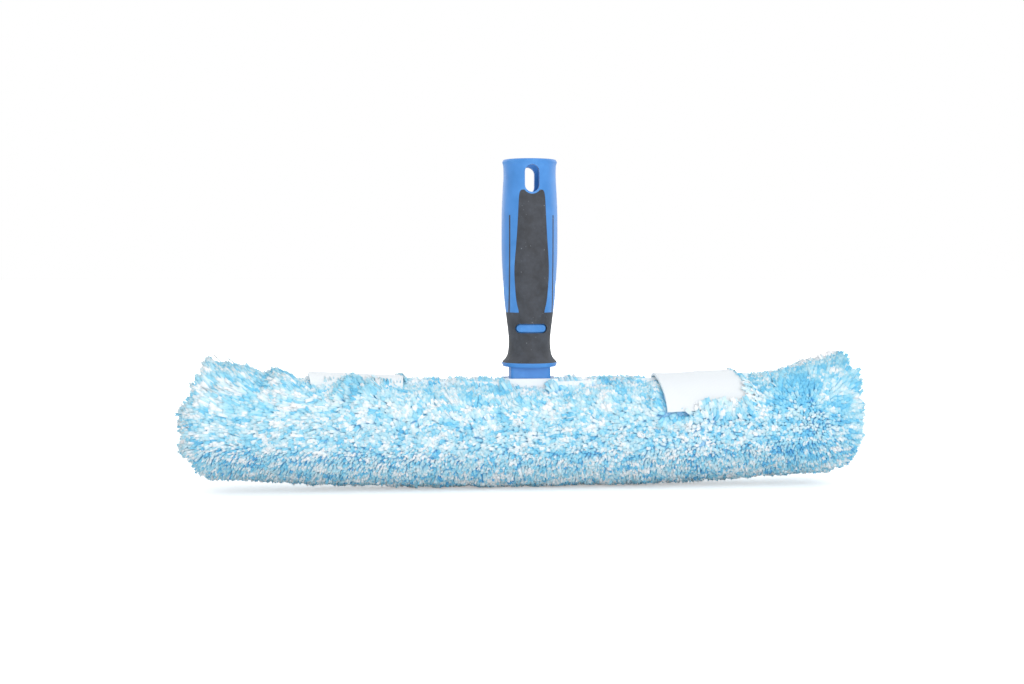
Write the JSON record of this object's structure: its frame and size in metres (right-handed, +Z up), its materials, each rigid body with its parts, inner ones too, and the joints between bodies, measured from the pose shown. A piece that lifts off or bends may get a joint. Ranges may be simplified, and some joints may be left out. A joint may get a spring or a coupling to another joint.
{
  "type": "window scrubber",
  "caption": "Hand window scrubber: a bowed T-bar inside a blue and white pile sleeve, closed by hook-and-loop straps, on a two-shot handle with a pole socket.",
  "frame": {"origin": "middle of the part's box in X and Y, at the lowest point of the pile sleeve", "axes": "+Z up along the handle to its rim, +X along the bar to the right as seen from the front, -Y to the front"},
  "size_m": [0.3688, 0.0496, 0.1762],
  "materials": {
    "blue_plastic": "moulded polypropylene, fine satin texture",
    "grip_rubber": "moulded thermoplastic rubber, matt, lightly scuffed",
    "bar_plastic": "moulded polypropylene, natural white",
    "steel": "zinc-plated",
    "backing_cloth": "plain knitted backing",
    "pile": "cut microfibre pile, white and sky blue strands mixed",
    "binding_tape": "woven tape, stitched",
    "strap_tape": "woven nylon tape, stitched",
    "hook_tape": "nylon hook tape",
    "loop_tape": "brushed nylon loop tape"
  },
  "bodies": {
    "root": {"handle_core": "blue_plastic", "rubber_grip": "grip_rubber", "t_bar": "bar_plastic", "fixing_screw": "steel", "screw_washer": "steel", "sleeve_backing": "backing_cloth", "sleeve_pile": "pile", "end_panel_left": "pile", "end_panel_right": "pile", "slit_tape_front": "binding_tape", "slit_tape_rear": "binding_tape", "right_loop_pad": "loop_tape", "right_strap_tail": "strap_tape", "left_loop_pad": "loop_tape", "left_strap_tail": "strap_tape"},
    "right_strap": {"right_strap": "strap_tape", "right_hook_pad": "hook_tape"},
    "left_strap": {"left_strap": "strap_tape", "left_hook_pad": "hook_tape"}
  },
  "joints": [
    {"name": "right_strap_hinge", "type": "hinge", "parent": "root", "child": "right_strap", "pos_m": [0.09234, 0.00864, 0.05922], "axis": [-0.9991, 0, -0.0431], "range_deg": [0, 140]},
    {"name": "left_strap_hinge", "type": "hinge", "parent": "root", "child": "left_strap", "pos_m": [-0.09234, -0.00864, 0.05922], "axis": [0.9991, 0, -0.0431], "range_deg": [0, 140]}
  ]
}
